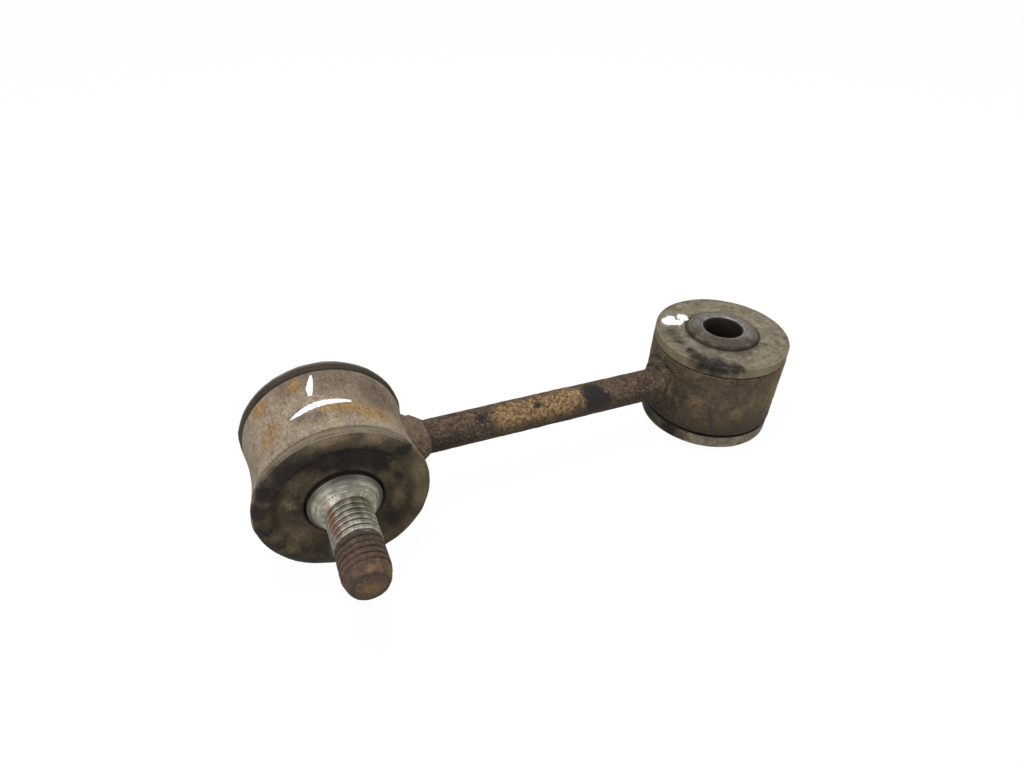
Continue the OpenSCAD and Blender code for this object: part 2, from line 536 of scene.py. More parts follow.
class Finish(ABC):
    """A surface finish: builds its material once and gives it to pieces."""

    name: str

    def dress(self, piece: bpy.types.Object) -> None:
        """Gives the piece this finish."""
        piece.data.materials.append(bpy.data.materials.get(self.name) or self._material())

    def _material(self) -> bpy.types.Material:
        """Makes the material, whose shader takes what the finish paints.

        Returns:
            The new material.
        """
        material = bpy.data.materials.new(self.name)
        material.use_nodes = True
        tree = material.node_tree
        feed(tree, tree.nodes["Principled BSDF"], self.paint(Surface(tree)))
        return material

    @abstractmethod
    def paint(self, surface: Surface) -> dict[str, Any]:
        """Adds the nodes of the colour, roughness and relief, and gives the shader's inputs."""


@dataclass(frozen=True)
class WeatheredSteel(Finish):
    """Plain steel that has stood in the wet: dust and road film over rust, matt and mottled.

    Light colours are dried dust, orange ones loose rust, and dark ones hard scale that shows through. The lower side is
    painted darker as shade, and on the bush eye a pale film spot is painted light. Real grit is about 0.1 mm across,
    and is drawn at 0.6 mm so that it shows in the render.
    """

    name: str
    film_and_light: tuple[str, str]
    grit: str
    rust: tuple[str, str]
    scale: str
    # Painted shade: the colour that the lower side turns to, where it begins, where it is full, and how strong
    painted_shade: str
    painted_shade_to: float
    painted_shade_from: float = 0.0
    painted_shade_strength: float = 0.85
    film_cell: float = 3.0
    film_and_light_edge: Edge = Edge(1.5, 4.0, 0.6)
    film_and_light_spots: Spots = ()
    grit_size: float = 0.6
    grit_cover: float = 0.35
    rust_cell: float = 3.0
    rust_cover: float = 0.2
    rust_edge: Edge = Edge(1.2, 2.5, 0.5)
    rust_spots: Spots = ()
    rust_strength: float = 0.8
    scale_cell: float = 2.0
    scale_cover: float = 0.2
    scale_edge: Edge = Edge(0.8, 2.5, 0.3, 0.92)
    scale_spots: Spots = ()
    mottling: Clouds = ((8.0, 0.16), (2.2, 0.22), (0.55, 0.34))
    run: Point = (1.0, 1.0, 1.0)
    relief: float = 0.12

    def paint(self, surface: Surface) -> dict[str, Any]:
        """Lays film, grit, rust and scale over each other, with painted shade that darkens the lower side.

        Args:
            surface: the material's nodes.

        Returns:
            The shader's inputs.
        """
        tree = surface.tree
        flow = add(tree, "ShaderNodeVectorMath", {0: surface.place, 1: self.run}, operation="MULTIPLY")
        # Film spots: on the bush eye the pale one on the right front is painted light
        if self.film_and_light_spots:
            film_and_light_mask = surface.spotted(self.film_and_light_spots, self.film_and_light_edge)
        else:
            film_and_light_mask = surface.blotches(self.film_cell, cover=0.5, soft=0.3, place=flow)
        gritty = surface.blotches(self.grit_size, self.grit_cover, soft=0.2, seed=11.0)
        rusty = surface.blotches(self.rust_cell, self.rust_cover, soft=0.25, seed=31.0, place=flow)
        rusty = surface.spotted(self.rust_spots, self.rust_edge, also=rusty)
        rusty = add(tree, "ShaderNodeMath", {0: rusty, 1: self.rust_strength}, operation="MULTIPLY")
        bright = surface.blotches(self.grit_size * 1.6, cover=0.5, soft=0.3, seed=47.0)
        hard = surface.blotches(self.scale_cell, self.scale_cover, soft=0.16, seed=63.0, place=flow)
        hard = surface.spotted(self.scale_spots, self.scale_edge, also=hard)
        rust = surface.over(self.rust[0], (bright, self.rust[1]))
        colour = surface.over(self.film_and_light[0], (film_and_light_mask, self.film_and_light[1]), (gritty, self.grit), (rusty, rust),
                              (hard, self.scale))
        # Painted shade: the colour darkens towards the bottom of the piece
        level = add(tree, "ShaderNodeSeparateXYZ", {0: surface.place}).outputs["Z"]
        painted_shade_mask = add(tree, "ShaderNodeMapRange", {"Value": level, "From Min": self.painted_shade_from,
                                                 "From Max": self.painted_shade_to, "To Max": self.painted_shade_strength})
        return {
            "Base Color": surface.over(surface.mottled(colour, self.mottling, flow), (painted_shade_mask, self.painted_shade)),
            "Roughness": add(tree, "ShaderNodeMapRange", {"Value": hard, "To Min": 0.88, "To Max": 0.6}),
            "Specular IOR Level": 0.2,
            "Normal": surface.relief(self.grit_size, detail=6.0, fine=0.7, strength=0.8, depth=self.relief,
                                     raised=rusty),
        }


@dataclass(frozen=True)
class DustyRubber(Finish):
    """Moulded black rubber: a dull sheen where it is wiped, and dried dust that settles on what faces up.

    Dust lies on the rim and the outer side of the roll, partly as painted light where the face is lit. Wiped and dark
    spots are partly painted shade; some rings are painted shadow at the foot of a lip and in the gap under the eye, one
    is a painted highlight along an edge, and the rubber is darker where it meets the stud. The moulded skin is finer
    than 0.2 mm, and is drawn at 0.7 mm so that it shows in the render.
    """

    name: str
    black: tuple[str, str]
    dust: tuple[str, str]
    dust_cell: float
    dust_cover: float
    bands: Bands
    mottling: Clouds
    thick_dust_and_light: str = ""
    dust_and_light_edge: Edge = Edge(0.9, 3.5, 0.7)
    dust_and_light_spots: Spots = ()
    wiped_and_shade_edge: Edge = Edge(1.0, 2.4, 0.42, 0.97)
    wiped_and_shade_spots: Spots = ()
    dark_edge: Edge = Edge(0.5, 1.8, 0.8, 0.6)
    dark_spots: Spots = ()
    paint_edge: Edge = Edge(0.5, 1.6, 0.1)
    paint_spots: Spots = ()
    mould_rings: Clouds = ((1.6, 0.18), (0.6, 0.16))
    skin_cell: float = 0.7
    relief: float = 0.06

    def paint(self, surface: Surface) -> dict[str, Any]:
        """Lays dust, partly painted light, over the rubber, keeps the wiped spots clear as bare rubber that is partly
        painted shade, and marks the rim and the inner edge with bands of colour, painted shade and painted highlight.

        Args:
            surface: the material's nodes.

        Returns:
            The shader's inputs.
        """
        tree = surface.tree
        rubber = surface.over(self.black[0], (surface.blotches(cell=5.0, cover=0.5, soft=0.4), self.black[1]))
        fine = surface.blotches(cell=1.4, cover=0.5, soft=0.4, seed=5.0)
        covered = surface.blotches(self.dust_cell, self.dust_cover, soft=0.35, seed=17.0)
        dust_and_light = surface.spotted(self.dust_and_light_spots, self.dust_and_light_edge)
        wiped_and_shade = surface.spotted(self.wiped_and_shade_spots, self.wiped_and_shade_edge)
        dust = surface.over(self.dust[0], (fine, self.dust[1]))
        colour = surface.over(rubber, (covered, dust), (dust_and_light, self.thick_dust_and_light))
        colour = surface.over(surface.banded(colour, self.bands), (wiped_and_shade, rubber),
                              (surface.spotted(self.dark_spots, self.dark_edge), self.black[0]))
        rings = add(tree, "ShaderNodeVectorMath", {0: surface.turned, 1: (1.0, 0.0, 0.0)}, operation="MULTIPLY")
        colour = surface.mottled(surface.mottled(colour, self.mottling), self.mould_rings, rings)
        if self.dust_and_light_spots:
            covered = add(tree, "ShaderNodeMath", {0: covered, 1: dust_and_light}, operation="MAXIMUM")
        covered = add(tree, "ShaderNodeMath", {0: covered, 1: wiped_and_shade}, operation="SUBTRACT", use_clamp=True)
        return {
            "Base Color": surface.over(colour, (surface.spotted(self.paint_spots, self.paint_edge), MARKING_WHITE)),
            "Roughness": add(tree, "ShaderNodeMapRange", {"Value": covered, "To Min": 0.65, "To Max": 0.92}),
            "Specular IOR Level": 0.12,
            "Normal": surface.relief(self.skin_cell, detail=5.0, fine=0.6, strength=0.7, depth=self.relief),
        }


@dataclass(frozen=True)
class RolledZincThread(Finish):
    """Rolled, zinc-plated steel thread: bright crests over roots painted darker as shade, yellowed where the
    passivation is left.

    Beyond where the nut sat, the plating is gone and brown rust has filled the thread. Rust pits are about 0.1 mm
    across, and are drawn at 0.5 mm so that they show in the render.
    """

    name: str
    zinc: tuple[str, str]
    patina: str
    streak: str
    dirt_and_shade: str
    rust: tuple[str, str]
    ochre: str
    rust_from: float
    zinc_bands: Bands
    rust_bands: Bands
    bands: Bands
    patina_spots: Spots
    streak_spots: Spots
    dirt_and_shade_spots: Spots
    ochre_spots: Spots
    patina_edge: Edge = Edge(0.6, 1.5, 0.6, 0.6)
    streak_edge: Edge = Edge(0.4, 1.2, 0.6, 0.85)
    dirt_and_shade_edge: Edge = Edge(0.5, 1.5, 0.8, 0.7)
    ochre_edge: Edge = Edge(0.5, 1.2, 0.8, 0.8)
    rust_edge_cell: float = 2.5
    rust_edge_drift: float = 2.4
    zinc_run: Point = (1.0, 0.15, 1.0)
    zinc_mottling: Clouds = ((1.8, 0.2), (0.45, 0.3))
    zinc_streaks: Clouds = ((1.1, 0.6),)
    rust_mottling: Clouds = ((3.0, 0.35), (0.6, 0.35))
    pit_cell: float = 0.5
    pit_depth: float = 0.15

    def paint(self, surface: Surface) -> dict[str, Any]:
        """Paints plating near the collar and rust towards the tip.

        Args:
            surface: the material's nodes.

        Returns:
            The shader's inputs.
        """
        tree = surface.tree
        zinc = surface.over(self.zinc[0], (surface.blotches(cell=1.6, cover=0.5, soft=0.4), self.zinc[1]),
                            (surface.spotted(self.patina_spots, self.patina_edge), self.patina))
        lengthwise = add(tree, "ShaderNodeVectorMath", {0: surface.place, 1: self.zinc_run}, operation="MULTIPLY")
        zinc = surface.mottled(surface.mottled(zinc, self.zinc_mottling), self.zinc_streaks, lengthwise)
        zinc = surface.over(zinc, (surface.spotted(self.streak_spots, self.streak_edge), self.streak))
        # Dirt spots, one of them painted shade on the collar's top beneath the rubber
        zinc = surface.over(surface.banded(zinc, self.zinc_bands),
                            (surface.spotted(self.dirt_and_shade_spots, self.dirt_and_shade_edge), self.dirt_and_shade))
        rust = surface.over(self.rust[0], (surface.blotches(1.3, cover=0.4, soft=0.35, seed=23.0), self.rust[1]),
                            (surface.spotted(self.ochre_spots, self.ochre_edge), self.ochre))
        rust = surface.mottled(surface.banded(rust, self.rust_bands), self.rust_mottling)
        cloud = add(tree, "ShaderNodeTexNoise", {"Vector": surface.place, "Scale": 1 / self.rust_edge_cell,
                                                 "Detail": 4.0})
        height = add(tree, "ShaderNodeSeparateXYZ", {0: surface.turned}).outputs["Y"]
        reach = add(tree, "ShaderNodeMath", {0: cloud, 1: self.rust_edge_drift, 2: height}, operation="MULTIPLY_ADD")
        rusty = add(tree, "ShaderNodeMapRange", {"Value": reach, "From Min": self.rust_from + 1.0,
                                                 "From Max": self.rust_from + 1.5})
        pitted = add(tree, "ShaderNodeMapRange", {"Value": rusty, "To Min": 0.15, "To Max": 0.9})
        return {
            "Base Color": surface.banded(surface.over(zinc, (rusty, rust)), self.bands),
            "Metallic": add(tree, "ShaderNodeMapRange", {"Value": rusty, "To Min": 0.45, "To Max": 0.0}),
            "Roughness": add(tree, "ShaderNodeMapRange", {"Value": rusty, "To Min": 0.32, "To Max": 0.9}),
            "Normal": surface.relief(self.pit_cell, detail=5.0, fine=0.7, strength=pitted, depth=self.pit_depth),
        }


@dataclass(frozen=True)
class WornDarkSteel(Finish):
    """Turned steel sleeve, darkened by rust and oil: blue-grey, brown on one side, with a painted highlight round the
    bore's edge and painted shade down the bore.

    Its pits are about 0.1 mm across, and are drawn at 0.8 mm so that they show in the render.
    """

    name: str
    steel: tuple[str, str]
    rust: str
    bore_edge_highlight: str
    inside: str
    bore_r: float
    rust_spots: Spots
    bands: Bands
    rust_edge: Edge = Edge(0.8, 2.0, 0.5)
    mottling: Clouds = ((2.5, 0.25), (0.7, 0.3))
    rim_w: tuple[float, float] = (1.0, 0.45)
    inside_w: tuple[float, float] = (0.32, 0.1)
    pit_cell: float = 0.8
    pit_depth: float = 0.08

    def paint(self, surface: Surface) -> dict[str, Any]:
        """Paints the rounded ends, a painted highlight on the bore's rim and painted shade in the bore.

        Args:
            surface: the material's nodes.

        Returns:
            The shader's inputs.
        """
        tree = surface.tree
        dull = surface.blotches(cell=2.5, cover=0.5, soft=0.35)
        rusty = surface.spotted(self.rust_spots, self.rust_edge)
        colour = surface.over(self.steel[0], (dull, self.steel[1]), (rusty, self.rust))
        colour = surface.mottled(surface.banded(colour, self.bands), self.mottling)
        radius = add(tree, "ShaderNodeSeparateXYZ", {0: surface.turned}).outputs["X"]
        # Painted highlight in patches on the rounding at the bore's edge, and painted shade down the bore
        rim, inner = (add(tree, "ShaderNodeMapRange", {"Value": radius, "From Min": self.bore_r + begin,
                                                       "From Max": self.bore_r + full})
                      for begin, full in (self.rim_w, self.inside_w))
        patchy = surface.blotches(cell=3.5, cover=0.4, soft=0.4, seed=3.0)
        rim = add(tree, "ShaderNodeMath", {0: rim, 1: patchy}, operation="MULTIPLY")
        return {
            "Base Color": surface.over(colour, (rim, self.bore_edge_highlight), (inner, self.inside)),
            "Metallic": add(tree, "ShaderNodeMapRange", {"Value": rusty, "To Min": 0.55, "To Max": 0.0}),
            "Roughness": add(tree, "ShaderNodeMapRange", {"Value": dull, "To Min": 0.42, "To Max": 0.65}),
            "Specular IOR Level": 0.2,
            "Normal": surface.relief(self.pit_cell, detail=5.0, fine=0.65, strength=0.5, depth=self.pit_depth),
        }


@dataclass(frozen=True)
class PaintPenWhite(Finish):
    """White marking paint put on by hand: thick, slightly glossy and a little grey where it is thin."""

    name: str
    thick: str = MARKING_WHITE
    thin: str = "#e6e5e0"
    drag_cell: float = 0.6
    drag_depth: float = 0.05

    def paint(self, surface: Surface) -> dict[str, Any]:
        """Mottles the paint and gives it brush relief.

        Args:
            surface: the material's nodes.

        Returns:
            The shader's inputs.
        """
        thin = surface.blotches(cell=1.0, cover=0.25, soft=0.3)
        return {
            "Base Color": surface.over(self.thick, (thin, self.thin)),
            "Roughness": 0.45,
            "Normal": surface.relief(self.drag_cell, detail=3.0, fine=0.5, strength=0.4, depth=self.drag_depth),
        }


# Pressed tube: grey-brown dust with ochre rust where water stood, and painted shade on its lower side
STUD_EYE_FINISH = WeatheredSteel(
    "pressed steel tube, dusty", film_and_light=("#938573", "#63574a"), grit="#776957", rust=("#7d5e36", "#9a7a48"),
    scale="#4c4034", painted_shade="#463d32", painted_shade_to=-16.0, rust_cover=0.05, rust_strength=0.7, scale_cover=0.06,
    run=(1.0, 0.45, 1.0),
    film_and_light_spots=spots((-111, 4, 16.5, 8), (-121, 9, 21, 7.5), (-131, 9.5, 20.5, 5.5), (-130.5, -4, 20.2, 3),
                     (-127.5, -7.2, 21, 2.2)),
    rust_spots=spots((-131.5, 7.8, 20.3, 2), (-140, 8, 15, 3), (-139.3, -3.5, 15.6, 3.6), (-124, -4, 21.2, 2.4),
                     (-120, -5, 20.5, 3.2), (-116, -6.2, 19.2, 3.2), (-112, -6.4, 16.5, 3)),
)
# Drawn bar: brown rust film, a tan crust in the middle and black scale near the bush, with painted shade along its
# underside
ROD_FINISH = WeatheredSteel(
    "drawn steel bar, rusted", film_and_light=("#493c31", "#302924"), grit="#705e4b", rust=("#5b4630", "#967c59"),
    scale="#0e0e12", painted_shade="#2f2b24", painted_shade_from=2.5, painted_shade_to=-3.5, grit_cover=0.3, rust_cover=0.08,
    rust_strength=0.9, scale_cell=1.6, mottling=((5.0, 0.2), (1.6, 0.45), (0.5, 0.75)), relief=0.25,
    run=(0.7, 1.0, 1.0),
    film_and_light_spots=spots((-82, -3, 3.5, 3), (-92, -5.5, -0.5, 3.6, 1.8, 1, 1), (-30, -4.5, 2, 3.2),
                     (-62, -6, -2, 2.2, 4, 1, 1)),
    rust_spots=spots(*((x, -2.8, 3.4, 4.2) for x in (-75, -71, -67, -62, -58, -54.5))),
    scale_spots=spots((-46.8, -2.5, 4, 3.4), (-44.5, -4.2, 2, 3), (-48, -4.6, 1, 2),
                      (-65.3, -2.4, 4.4, 1, 1.3, 1, 1), (-82.6, -2.2, 4.4, 1.2, 1.2, 1, 1)),
)
# Straight tube: brown rust under road dirt, ochre where the rust is fresh, painted shade low down, and a pale film spot
# on the right front that is painted light
BUSH_EYE_FINISH = WeatheredSteel(
    "steel tube, rusted", film_and_light=("#53473a", "#8a7b60"), grit="#675a47", rust=("#665338", "#84704e"), scale="#2f2822",
    painted_shade="#332c25", painted_shade_to=-11.0, rust_cover=0.24, rust_strength=0.65, run=(1.0, 1.0, 0.7),
    mottling=((6.0, 0.32), (2.0, 0.24), (0.55, 0.3)), relief=0.14,
    # The first spot is painted light: pale film on the right front, the side where light falls
    film_and_light_spots=spots((14, -16, 3, 7, 1, 1, 2), (-18, 12, 0, 5), (12, 17, -2, 6)),
    rust_spots=spots((-16, -13.5, 1, 2), (-14.6, -15.2, -3.6, 2.2), (-13.8, -15.8, -8, 2.2), (-5, -20.4, -2, 2.4),
                     (6.5, -19.9, 1, 3.5)),
)
# Arc weld beads: rusted all over, speckled by spatter, with painted shade low down
STUD_WELD_FINISH = WeatheredSteel(
    "arc weld bead, rusted", film_and_light=("#5d4f42", "#6a5b4c"), grit="#7a6a59", rust=("#6d523a", "#84664a"),
    scale="#332c27", painted_shade="#2e2a22", painted_shade_to=-6.0, rust_cover=0.25, scale_cell=1.4,
    mottling=((4.0, 0.2), (1.3, 0.3), (0.5, 0.35)), relief=0.2,
)
BUSH_WELD_FINISH = replace(
    BUSH_EYE_FINISH, name="arc weld bead, dark rust", film_and_light=("#3f352b", "#7d6f56"), scale_cover=0.3,
    mottling=((5.0, 0.2), (1.6, 0.3), (0.55, 0.36)), relief=0.25,
)
# Moulded rubber of the stud end: black inside the roll, partly painted shade; olive dust outside it, partly painted
# light; a grey rim in front, and a painted highlight along the back flange's edge
STUD_RUBBER_FINISH = DustyRubber(
    "moulded rubber, stud end", black=("#1a1716", "#26221f"), dust=("#4b4234", "#584d3d"), thick_dust_and_light="#6f624e",
    dust_cell=9.0, dust_cover=0.75, mottling=((5.0, 0.12), (1.6, 0.16), (0.45, 0.34)),
    bands=(
        Band("#766b5b", 1.0, radius=((21.9, 22.3),), height=((8.0, 10.0),)),
        Band("#2e2b28", 0.75, radius=((21.7, 22.0),), height=((-8.0, -10.0),)),
        # Painted highlight, partly dust: a pale line along the back flange's outer edge
        Band("#7b7569", 0.8, radius=((22.0, 22.3),), height=((-14.1, -15.0),)),
        # Darker where the rubber meets the stud
        Band("#171514", 0.9, radius=((10.8, 10.2),)),
    ),
    # Thick dust, partly painted light where the face is lit, at its lower left and on its right
    dust_and_light_spots=spots(
        (-127, -17, 21.8, 1.5, 3, 1.5, 1), (-116, -17, 19, 1.5, 2, 1.5, 1), (-141.5, -17, -5, 1.8),
        (-138.2, -17, -9, 2.7), (-138.4, -17, 3.4, 1.6), (-105.4, -17, 5, 2.2, 1, 1.5, 1.6),
        (-104.6, -17, -4, 2.6, 1, 1.5, 1.8), (-107.6, -17, -14, 2.4), (-111.4, -17, -4.6, 1.6, 0.9, 1.5, 2),
        (-146.8, 14, 4, 4.5, 1, 1, 2), (-125, 15, 19.5, 2.4, 4, 1.5, 1), (-140, 15, -6, 3.6),
        (-110, 15, 4, 3.2, 1, 1.5, 1.6), (-122, 15, -17, 2.8),
    ),
    # Bare black rubber, partly painted shade: inside the roll's upper half and along the face's lower edge
    wiped_and_shade_spots=spots(*((x, -17.2, z, reach) for x, z, reach in (
        (-145.6, 4, 2.6), (-142.8, 10, 2.8), (-137.6, 14.6, 3.2), (-133, 15.2, 3.6), (-128.4, 14.8, 4.2),
        (-123.7, 14.2, 4.6), (-119, 13.4, 4.4), (-114.2, 12, 3.6), (-109.2, 13, 2.4), (-115, 9.6, 3),
        (-110.6, 4, 1.7), (-146.4, -3, 2.2), (-144.6, -8.8, 2.9), (-140.6, -15.1, 3.2), (-135.1, -18.6, 3.3),
        (-128, -20.6, 3.2),
    ))),
)
# Moulded rubber of the bush end: pale dust all over, smeared black where it was handled, painted shadow at the lip's
# foot and under the eye, and painted shade on the lip's front
BUSH_RUBBER_FINISH = DustyRubber(
    "moulded rubber, bush end", black=("#161312", "#221d1a"), dust=("#6c6355", "#857b6a"), dust_cell=5.0,
    dust_cover=0.9, mottling=((6.0, 0.22), (1.8, 0.14), (0.5, 0.2)), wiped_and_shade_edge=Edge(1.0, 2.4, 0.65, 0.97),
    bands=(
        Band("#81775f", 0.7, radius=((20.4, 20.7),), height=((5.0, 10.0),)),
        Band("#3f362d", 0.9, radius=((10.0, 11.0), (11.9, 11.5)), height=((10.0, 12.0),)),
        # Painted shadow at the foot of the lip round the sleeve
        Band("#2b2622", 0.6, radius=((11.1, 11.4), (12.1, 11.6)), height=((10.0, 12.0),)),
        # Painted shadow in the gap between the eye and the lower flange
        Band("#171412", 1.0, radius=((19.6, 20.2),), height=((-12.1, -11.8), (0.0, -5.0))),
    ),
    wiped_and_shade_spots=spots(
        (-16.2, -6, 14.8, 1.7), (-16, -9.4, 14.6, 2.4), (-15.4, -12, 14.2, 2.9), (-13.4, -14.4, 14, 3),
        (-11.2, -16.3, 14.2, 2.7), (-8.4, -18, 14.2, 2.2), (-20, 4, -14, 7), (-18.5, -8, -14, 4.6),
    ),
    # Dark spots: small dirt marks, and painted shade on the front and left of the lip
    dark_spots=spots(
        (0.3, -13.2, 15, 1.1), (2.3, 17.3, 15, 0.7), (12.5, 11, 15, 0.6), (-16.2, 5, 15, 2.6),
        (-16.4, 0.5, 15, 2.2), (8, -11, 15, 1), (-11, 1, 15.6, 2), (-9.9, -5.2, 15.6, 3), (-6.6, -9, 15.6, 3),
        (-1.5, -10.9, 15.6, 2.8), (4.5, -10.2, 15.6, 2.2),
    ),
    paint_spots=spots((-13.2, 10.6, 15, 2.3), (-11.6, 12.2, 15, 1.6), (-10.4, 9.2, 15, 1.6), (-7.4, 11.4, 15, 1.8)),
)
# The thread's roots: below its crests, between the collar and the tip, where they are painted darker as shade
ROOTS: dict[str, Limits] = {"radius": ((5.7, 5.1),), "height": ((19.0, 20.5), (39.4, 38.4))}
# Rolled thread: dull zinc with yellowed passivation, brown rust beyond the nut, painted shade in the thread's roots and
# on the collar beneath the rubber
STUD_FINISH = RolledZincThread(
    "rolled thread, zinc plated", zinc=("#9a968a", "#7c786b"), patina="#757254", streak="#7b5747", dirt_and_shade="#4a453b",
    rust=("#3b2e25", "#604937"), ochre="#775b34", rust_from=31.4,
    zinc_bands=(Band("#bab6a8", 0.3, radius=((6.7, 7.5),), height=((15.0, 16.5),)), Band("#37332c", 0.95, **ROOTS)),
    rust_bands=(Band("#241e18", 0.9, **ROOTS),),
    bands=(
        # Painted shade on the collar where it meets the rubber
        Band("#38332c", 0.9, height=((17.4, 16.7), (0.0, 5.0))),
        Band("#3a3128", 0.8, radius=((8.0, 9.3),), height=((-12.0, -15.0),)),
        Band("#3a3128", 0.7, radius=((2.2, 1.4),), height=((-12.0, -15.0),)),
        Band("#1f1a15", 0.5, height=((31.0, 32.0), (34.2, 32.4))),
        Band("#211b15", 0.55, radius=((3.7, 4.1), (4.7, 4.4)), height=((42.0, 42.6),)),
    ),
    patina_spots=spots((-121, -22, 4, 3), (-117.5, -19, 2, 2.5), (-131, -18.5, 5, 2)),
    streak_spots=spots((-129.6, -26, 3.9, 1.2, 1, 4.5, 1.3)),
    # The first spot is painted shade on the collar's top, under the rubber; the others are dirt
    dirt_and_shade_spots=spots((-125, -18.4, 8.8, 3, 1.7, 1.2, 1), (-122, -20.5, 6, 1.4), (-123.5, -25, 5.6, 1.2, 1, 3, 1),
                     (-122, 14, -4, 4.5), (-131, 15, 3, 3)),
    ochre_spots=spots((-124.4, -43.2, 4.6, 0.8, 1.6, 1, 1), (-120.4, -42.6, 1.2, 1.3, 1, 1, 1.4),
                      (-125, -44.4, -0.8, 1.6, 1.3, 0.5, 1)),
)
# Turned sleeve: blue-grey steel, brown on the rod side, a darker brown outer slope on its ends that is partly painted
# shade, a painted highlight round the bore's edge and painted shade down the bore
SLEEVE_FINISH = WornDarkSteel(
    "turned steel sleeve", steel=("#585450", "#716c66"), rust="#43372a", bore_edge_highlight="#918f89", inside="#3a332d", bore_r=6.1,
    rust_spots=spots((-9.8, 0.8, 16, 2.4), (-8.6, -4.6, 15.8, 3.6), (-6.4, -7.4, 15.8, 3.6), (-2.6, -9.2, 15.8, 3.4),
                     (2.8, -9.8, 15.6, 2.6)),
    # Partly painted shade: the outer slope of each domed end is darker brown
    bands=(Band("#463d33", 0.7, radius=((8.4, 10.2),)),),
)
# Marking paint: two dabs of white on the dusty tube
PAINT_FINISH = PaintPenWhite("white marking paint")


def put(skin: Skin, finish: Finish, body: Body, node: str = "", metal: Body | None = None) -> None:
    """Builds a piece and dresses it, and attaches it to the body that it moves with unless it is a rubber.

    A rubber is not attached to any body: its place is baked into its mesh.

    Args:
        skin: the piece's rings.
        finish: its finish.
        body: the body that it moves with; for a rubber it is only named in the log.
        node: the solid that it stands for, if it stands for one.
        metal: given for a rubber, which is then not attached; the body that it names is not used.
    """
    piece = skin.build()
    finish.dress(piece)
    if metal is None:
        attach(piece, body.value)
    else:
        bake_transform(piece)
    if node:
        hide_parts(node)
    LOG.info("%s moves with %s, stands for %s, has %d points", piece.name, body.value, node or "no solid",
             len(piece.data.vertices))


def box_mm(node: str) -> tuple[np.ndarray, np.ndarray]:
    """Lowest and highest corner of a solid, in millimetres."""
    lowest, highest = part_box(node)
    return np.array(lowest) / MM, np.array(highest) / MM


@dataclass
class Daub:
    """A dab of paint drawn along a path on a surface of revolution.

    The path gives angle and height on the surface, with the dab's width at each point.
    """

    name: str
    path: Sequence[tuple[float, float, float]]
    thickness: float = 0.16
    sunk: float = 0.12
    across: int = 24
    along: int = 60
    raggedness: float = 0.3
    ragged_cell: float = 1.5
    ragged_run: float = 37.0

    def skin(self, turning: Turning, radius_at: Callable[[np.ndarray], np.ndarray]) -> Skin:
        """Lays the dab on the surface.

        Args:
            turning: the surface's axis.
            radius_at: gives the surface's radius at each height.

        Returns:
            The dab as a closed skin.
        """
        knots = np.array(self.path)
        share = np.linspace(0, 1, self.along)
        angle, height, width = (np.interp(share, np.linspace(0, 1, len(knots)), knots[:, k]) for k in range(3))
        ground = radius_at(height)
        line = np.stack([angle * ground, height], 1)
        tangent = np.gradient(line, axis=0)
        tangent /= np.linalg.norm(tangent, axis=1, keepdims=True)
        square = np.stack([-tangent[:, 1], tangent[:, 0]], 1)
        turn = round_angles(self.across)[0]
        rim = np.stack([share * self.ragged_run, share * 0, share * 0], 1)
        left, right = (1 + grain(rim, (self.raggedness, self.ragged_cell, 3, seed)) for seed in (4.0, 9.0))
        side = np.where(np.cos(turn) > 0, left[:, None], right[:, None]) * np.cos(turn) * width[:, None] / 2
        flat = line[:, None, :] + side[..., None] * square[:, None, :]
        high = np.where(np.sin(turn) > 0, self.thickness, self.sunk) * np.sin(turn)
        high = high * np.sqrt(np.clip(width / width.max(), 0.2, 1))[:, None]
        level = radius_at(flat[..., 1])
        return Skin(self.name, *turning.rings(level + high, flat[..., 1], flat[..., 0] / ground[:, None]), poles=True)


